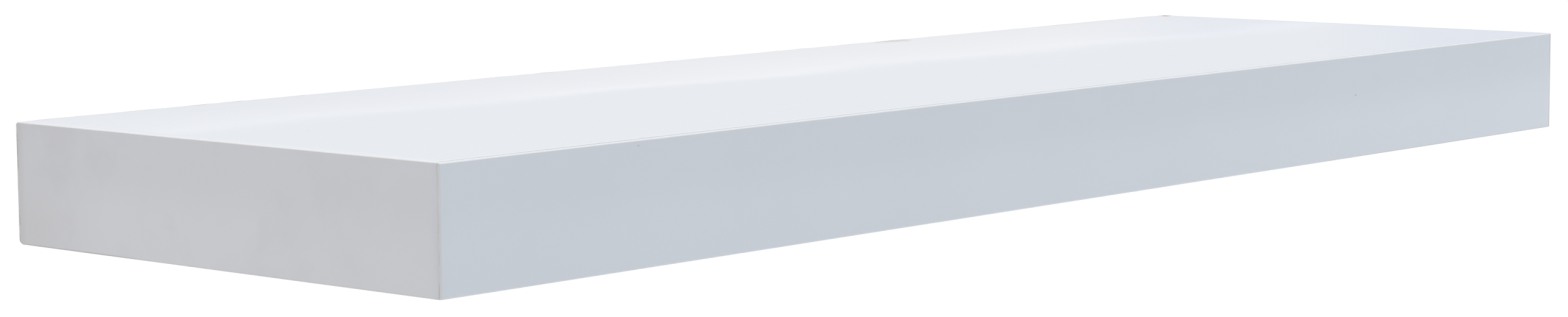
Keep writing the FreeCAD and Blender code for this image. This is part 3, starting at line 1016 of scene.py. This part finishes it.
def make_bead(name, path, closed):
    """A thin bead along a path of place, outward direction and sideways direction."""
    points = []
    for i, (spot, out, across) in enumerate(path):
        width = BEAD_WIDTH + 0.05 * wander(i * 7.0, 6)
        spot, out, across = Vector(spot), Vector(out), Vector(across)
        sunk = BEAD_SUNK + 0.03 * wander(i * 5.0, 9) + BEAD_DROP * abs(out.z)
        spot += across * BEAD_STRAY * wander(i * 11.0, 12)
        section = ((-width, sunk), (0.0, sunk + BEAD_HOLLOW), (width, sunk), (0.0, BEAD_DEPTH))
        points += [tuple(spot + across * shift - out * down) for shift, down in section]
    faces = ring_faces(len(path), 4, closed)
    if not closed:
        last = (len(path) - 1) * 4
        faces += [(0, 1, 2, 3), (last, last + 1, last + 2, last + 3)]
    return make_piece(name, points, faces, (seam_glue,))


def front_bead_path():
    """Round the whole front seam, over the top, ends and underside."""
    low, high = node_box("front_edge_band")
    y = high[1]
    corners = ((low[0], high[2]), (high[0], high[2]), (high[0], low[2]), (low[0], low[2]))
    outs = ((0, 0, 1), (1, 0, 0), (0, 0, -1), (-1, 0, 0))
    path = []
    for i in range(4):
        start, end, out = corners[i], corners[(i + 1) % 4], outs[i]
        length = max(abs(end[0] - start[0]), abs(end[1] - start[1]))
        count = max(12, round(length / BEAD_STEP))
        for k in range(count):
            at = CORNER_FREE / length + (1 - 2 * CORNER_FREE / length) * k / (count - 1)
            spot = (start[0] + (end[0] - start[0]) * at, y, start[1] + (end[1] - start[1]) * at)
            path.append((spot, out, (0, 1, 0)))
    return path


def end_bead_path(side, level):
    """Along the seam between an end band and a skin."""
    low, high = node_box(side + "_edge_band")
    x = high[0] if side == "left" else low[0]
    z = high[2] if level > 0 else low[2]
    start, end = low[1] + END_FREE, high[1] - (HIGH_CORNER if level > 0 else LOW_CORNER)
    ys = [start + (end - start) * i / END_STEPS for i in range(END_STEPS + 1)]
    return [((x, y, z), (0, 0, level), (1, 0, 0)) for y in ys]


hang(make_bead("front_seam_glue", front_bead_path(), True), SHELF, "white_band")
for side in SIDES:
    for level, word in ((1, "top"), (-1, "bottom")):
        bead = make_bead(side + "_" + word + "_seam_glue", end_bead_path(side, level), False)
        hang(bead, SHELF, "white_band")


# Wood frame and steel plate: the solids' own forms with eased edges

def make_eased(name, node, width, finish, segments=2):
    """A copy of a node's solid with its sharp edges eased."""
    form = bmesh.new()
    form.from_mesh(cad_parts[node].data)
    bmesh.ops.remove_doubles(form, verts=form.verts, dist=0.000002)
    bmesh.ops.dissolve_limit(form, angle_limit=math.radians(0.5), verts=form.verts, edges=form.edges)
    sharp = [e for e in form.edges if e.is_manifold and e.calc_face_angle(0.0) > math.radians(35)]
    bmesh.ops.bevel(
        form,
        geom=sharp,
        offset=width * MM,
        segments=segments,
        profile=0.5,
        affect="EDGES",
        clamp_overlap=True,
    )
    mesh = bpy.data.meshes.new(name)
    form.to_mesh(mesh)
    form.free()
    mesh.materials.append(finish)
    piece = show(name, mesh, 50)
    flat = piece.modifiers.new("flat_faces", "WEIGHTED_NORMAL")
    flat.keep_sharp = True
    flat.weight = 100
    return piece


hang(make_eased("bracket_strip", "wall_plate", 0.25, zinc_plate), BRACKET, "zinc_steel", "wall_plate")
for node in ("front_rail", "back_rail", "left_end_rail", "right_end_rail"):
    hang(make_eased(node + "_board", node, 0.2, pressed_chipboard, 1), SHELF, "frame_board", node)
for side in SIDES:
    node = side + "_guide_block"
    hang(make_eased(node + "_pine", node, 0.6, planed_pine), SHELF, "guide_wood", node)


# Rods

# The rods' nose and the two rounds on it
NOSE, FIRST_ROUND, SECOND_ROUND = 1.75, 0.6, 0.9

# Two turned grooves behind the nose, and a groove's shape: depth, and place along the rod
GROOVES = (8.0, 10.0)
GROOVE_SHAPE = ((0.0, -0.25), (0.12, -0.1), (0.12, 0.1), (0.0, 0.25))

# The neck in the plate and the head spread in its back: radius, and depth below the back
HEAD = ((4.0, 1.5), (5.42, 0.08), (5.3, 0.0), (3.2, 0.03), (1.6, 0.16), (0.0, 0.2))


def make_rod(side):
    """A turned rod with a rounded nose, and its spread head in the back of the plate."""
    low, high = node_box(side + "_rod")
    plate_low, plate_high = node_box("wall_plate")
    axis = (low[0] + high[0]) / 2
    radius = (high[0] - low[0]) / 2
    tip, shoulder, back = low[1], plate_low[1], plate_high[1]
    profile = [(0.0, tip + 0.05), (1.2, tip + 0.02), (radius - NOSE, tip)]
    for i in range(1, 6):
        angle = math.pi / 4 * i / 5
        out, up = FIRST_ROUND * math.sin(angle), FIRST_ROUND * (1 - math.cos(angle))
        profile.append((radius - NOSE + out, tip + up * 0.9))
    for i in range(6):
        angle = math.pi / 4 * (1 - i / 5)
        back_in, down = SECOND_ROUND * (1 - math.cos(angle)), SECOND_ROUND * math.sin(angle)
        profile.append((radius - back_in, tip + NOSE - down))
    for groove in GROOVES:
        profile += [(radius - depth, tip + groove + along) for depth, along in GROOVE_SHAPE]
    profile += [(radius, tip + 60.0), (radius, shoulder - 0.4), (radius - 0.25, shoulder - 0.02)]
    profile.append((HEAD[0][0], shoulder - 0.01))
    profile += [(reach, back - depth) for reach, depth in HEAD]
    points, faces = turned(profile, ROD_COUNT)
    laid = [(axis + p[0], p[2], p[1]) for p in points]
    return make_piece(side + "_turned_rod", laid, faces, (turned_rod,), None, 28.0)


for side in SIDES:
    hang(make_rod(side), BRACKET, "rod_steel", side + "_rod")


# Threaded inserts and set screws

PITCH, THREAD_STEP = 1.0, 0.125
SCREW_COUNT, INSERT_COUNT = 36, 48

# The set screw's thread depth and end chamfer, and the half width of its hexagon socket
SCREW_THREAD, SCREW_CHAMFER, SOCKET = 0.55, 0.7, 1.5

# Rings of the socket from its floor outward: share of its width, and height above the screw's foot
SOCKET_RINGS = ((0.35, 4.35), (0.98, 4.0), (1.0, 0.22), (1.12, 0.02))

# Rings of the cup in the screw's tip: reach, and depth below the top
CUP_RINGS = ((2.05, 0.05), (1.7, 0.3), (0.6, 0.75))

# The insert's bore at its thread's crests, and the thread's depth
INSERT_BORE, INSERT_THREAD = 3.1, 0.38


def thread_height(angle, height):
    """How far up its flank a thread is, from 0 in the root to 1 on the crest."""
    turn = (height / PITCH - angle / (2 * math.pi)) % 1.0
    return min(max((0.5 - abs(turn - 0.5)) * 2.7 - 0.45, 0.0), 1.0)


def placed_rings(node, rings):
    """The points of rings about a node's upright axis."""
    low, high = node_box(node)
    middle = [(low[i] + high[i]) / 2 for i in range(2)]
    return [(middle[0] + x, middle[1] + y, z) for ring in rings for x, y, z in ring]


def make_set_screw(side):
    """A set screw with a helical thread, a hexagon socket below and a cup tip above."""
    node = side + "_locking_screw"
    low, high = node_box(node)
    radius, bottom, top = (high[0] - low[0]) / 2, low[2], high[2]

    def socket_reach(angle, share):
        corner = (angle + math.pi / 6) % (math.pi / 3) - math.pi / 6
        return share * SOCKET / math.cos(corner)

    def thread_reach(angle, height):
        flank = radius - SCREW_THREAD + SCREW_THREAD * thread_height(angle, height)
        return min(flank, radius - SCREW_CHAMFER + min(height - bottom, top - height))

    rings = []
    for share, up in SOCKET_RINGS:
        rings.append(ring_at(SCREW_COUNT, bottom + up, lambda angle, height: socket_reach(angle, share)))
    levels = round((top - bottom) / THREAD_STEP)
    for k in range(levels + 1):
        rings.append(ring_at(SCREW_COUNT, bottom + (top - bottom) * k / levels, thread_reach))
    for reach, down in CUP_RINGS:
        rings.append(ring_at(SCREW_COUNT, top - down, lambda angle, height: reach))
    points = placed_rings(node, rings)
    faces = ring_faces(len(rings), SCREW_COUNT)
    faces += [tuple(range(SCREW_COUNT)), tuple(range(len(points) - SCREW_COUNT, len(points)))]
    return make_piece(side + "_set_screw", points, faces, (black_oxide,), None, 40.0)


def make_insert(side):
    """A flanged insert whose bore has a helical thread."""
    node = side + "_insert"
    low, high = node_box(node)
    bottom, top, flange = low[2], high[2], (high[0] - low[0]) / 2
    outline = [
        (3.75, bottom + 0.02),
        (flange - 0.3, bottom),
        (flange - 0.08, bottom + 0.08),
        (flange, bottom + 0.3),
        (flange, bottom + 1.1),
        (flange - 0.1, bottom + 1.2),
        (5.0, bottom + 1.2),
        (5.0, top - 0.4),
        (4.7, top),
        (3.5, top),
    ]

    def thread_reach(angle, height):
        groove = INSERT_BORE + INSERT_THREAD * thread_height(angle, height)
        return max(groove, 3.68 - (height - bottom), 3.4 - (top - height))

    rings = [ring_at(INSERT_COUNT, z, lambda angle, height: reach) for reach, z in outline]
    levels = round((top - bottom) / THREAD_STEP)
    for k in range(levels, -1, -1):
        z = bottom + 0.02 + (top - bottom - 0.02) * k / levels
        rings.append(ring_at(INSERT_COUNT, z, thread_reach))
    faces = ring_faces(len(rings), INSERT_COUNT, True)
    points = placed_rings(node, rings)
    return make_piece(side + "_threaded_insert", points, faces, (dulled_brass,), None, 40.0)


for side in SIDES:
    hang(make_set_screw(side), side + "_lock", "black_steel", side + "_locking_screw")
    hang(make_insert(side), SHELF, "insert_brass", side + "_insert")


# Honeycomb cores keep their solids' form

for node in ("left_core", "centre_core", "right_core"):
    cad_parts[node].material_slots[0].material = honeycomb_kraft


# Studio: floor, light and camera

# The floor's half width and level, and where its patch that glows only in reflections begins and ends, in
# metres
FLOOR_REACH, FLOOR_LEVEL = 60.0, -0.36
GLOW_PATCH_ACROSS, GLOW_PATCH_DEEP = (-2.9, -1.9), (-3.2, -1.9)


def seen_plainly(tree, ways):
    """Rays from the camera, straight or through a clear piece."""
    return worked(tree, "MAXIMUM", ways["Is Camera Ray"], ways["Is Transmission Ray"])


def make_floor():
    """A pale floor that keeps the shadow, with a patch that glows only in reflections, and that can be
    seen through from below.
    """
    floor = bpy.data.materials.new("pale_floor")
    floor.use_nodes = True
    tree = floor.node_tree
    tree.nodes.clear()
    ways = tree.nodes.new("ShaderNodeLightPath").outputs
    side = tree.nodes.new("ShaderNodeNewGeometry")
    spot = put(tree, "ShaderNodeSeparateXYZ", Vector=side.outputs["Position"]).outputs
    # Painted reflection: a patch of the floor glows for reflected rays only
    reflected_glow = times(
        tree,
        ranged(tree, spot["X"], *GLOW_PATCH_ACROSS, 0.0, 0.5, False),
        ranged(tree, spot["Y"], *GLOW_PATCH_DEEP, 0.0, 1.0, False),
        ways["Is Glossy Ray"],
    )
    shine = plus(tree, times(tree, seen_plainly(tree, ways), 0.38), reflected_glow)
    paint = put(tree, "ShaderNodeBsdfDiffuse", Color=(0.64, 0.64, 0.64))
    glow = put(tree, "ShaderNodeEmission", Color=WHITE, Strength=shine)
    both = tree.nodes.new("ShaderNodeAddShader")
    tree.links.new(paint.outputs[0], both.inputs[0])
    tree.links.new(glow.outputs[0], both.inputs[1])
    clear = tree.nodes.new("ShaderNodeBsdfTransparent")
    choice = put(tree, "ShaderNodeMixShader", Fac=side.outputs["Backfacing"])
    tree.links.new(both.outputs[0], choice.inputs[1])
    tree.links.new(clear.outputs[0], choice.inputs[2])
    out = tree.nodes.new("ShaderNodeOutputMaterial")
    tree.links.new(choice.outputs[0], out.inputs["Surface"])
    mesh = bpy.data.meshes.new("studio_floor")
    signs = ((-1, -1), (1, -1), (1, 1), (-1, 1))
    corners = [(FLOOR_REACH * across, FLOOR_REACH * deep, FLOOR_LEVEL) for across, deep in signs]
    mesh.from_pydata(corners, [], [(0, 1, 2, 3)])
    mesh.materials.append(floor)
    set_out("studio_floor", mesh)


# The horizon of the backdrop as a plane through the view's directions
HORIZON_X, HORIZON_Y, HORIZON_Z = 0.0047, 0.1187, 0.0007

# The backdrop's edge, its bright line and its glow, as heights over the horizon
EDGE_LIFT, LINE_LIFT, GLOW_LIFT = (-0.0006, 0.0006), (-0.0017, -0.0006), (-0.008, -0.0005)

# Where the light changes, in directions from the shelf: the start and then the end of each change
SWEEP_MID, SWEEP_FAR, SWEEP_END = (0.62, 0.76), (0.796, 0.828), (0.836, 0.864)
ROOM_BACK, ROOM_LEFT, ROOM_TOP = (-0.35, 0.15), (-0.15, -0.85), (0.2, 0.95)


def light_studio():
    """Soft light from all round: a white backdrop behind, dimmer and cooler room in front."""
    world = bpy.data.worlds.new("studio_light")
    scene.world = world
    world.use_nodes = True
    tree = world.node_tree
    tree.nodes.clear()
    way = tree.nodes.new("ShaderNodeTexCoord").outputs["Generated"]
    x, y, z = put(tree, "ShaderNodeSeparateXYZ", Vector=way).outputs
    slope = plus(tree, times(tree, y, HORIZON_Y), times(tree, x, HORIZON_X), HORIZON_Z)
    lift = worked(tree, "SUBTRACT", z, slope)
    far = ranged(tree, x, *SWEEP_FAR)
    middle = ranged(tree, x, *SWEEP_MID)
    sweep = mixed(tree, middle, (0.760, 0.774, 0.815), (0.815, 0.815, 0.842))
    sweep = mixed(tree, far, sweep, (0.752, 0.783, 0.838))
    glow = ranged(tree, lift, *GLOW_LIFT, 0.0, 0.065)
    line = ranged(tree, lift, *LINE_LIFT, 0.0, 0.06)
    near_glow = times(tree, plus(tree, glow, line), worked(tree, "SUBTRACT", 1.0, far))
    far_line = times(tree, line, far, 1.7)
    sweep = mixed(tree, plus(tree, near_glow, far_line), sweep, (1.7, 1.7, 1.7))
    backdrop = mixed(tree, ranged(tree, lift, *EDGE_LIFT), sweep, (0.783, 0.808, 0.843))
    backdrop = mixed(tree, ranged(tree, x, *SWEEP_END), backdrop, (0.695, 0.735, 0.822))
    level = mixed(tree, ranged(tree, y, *ROOM_BACK), (0.315, 0.455, 0.578), backdrop)
    level = mixed(tree, ranged(tree, x, *ROOM_LEFT, 0.0, 0.88), level, (0.219, 0.163, 0.146))
    light = mixed(tree, ranged(tree, z, *ROOM_TOP, 0.0, 0.95), level, (1.35, 1.36, 1.39))
    ways = tree.nodes.new("ShaderNodeLightPath").outputs
    shown = mixed(tree, seen_plainly(tree, ways), light, WHITE)
    back = put(tree, "ShaderNodeBackground", Color=shown, Strength=1.0)
    out = tree.nodes.new("ShaderNodeOutputWorld")
    tree.links.new(back.outputs[0], out.inputs["Surface"])


def make_window_light():
    """A soft light at the front right, which the camera and reflections don't show."""
    lamp = bpy.data.lights.new("window_light", "AREA")
    lamp.shape = "RECTANGLE"
    lamp.size = 0.5
    lamp.size_y = 0.4
    lamp.energy = 0.55
    lamp.color = (0.93, 0.97, 1.0)
    window = set_out("window_light", lamp)
    window.location = (1.0, -0.9, 0.05)
    aim = Vector((0.40, -0.25, 0.0)) - window.location
    window.rotation_euler = aim.to_track_quat("-Z", "Y").to_euler()
    window.visible_camera = False
    window.visible_glossy = False


# The camera that was fitted to the photograph: place in metres, turn in degrees, lens in millimetres
CAMERA_PLACE = (-1.24596, -1.16009, 0.15762)
CAMERA_TURN = (83.89721, 0.41910, -48.63906)
CAMERA_LENS = 79.9265


def set_camera():
    """The photograph's view: from the left of the front, a little above the shelf."""
    lens = bpy.data.cameras.new("photo_camera")
    lens.sensor_width = 36.0
    lens.lens = CAMERA_LENS
    lens.clip_end = 200.0
    camera = set_out("photo_camera", lens)
    camera.location = CAMERA_PLACE
    camera.rotation_euler = [math.radians(angle) for angle in CAMERA_TURN]
    scene.camera = camera


make_floor()
light_studio()
make_window_light()
set_camera()
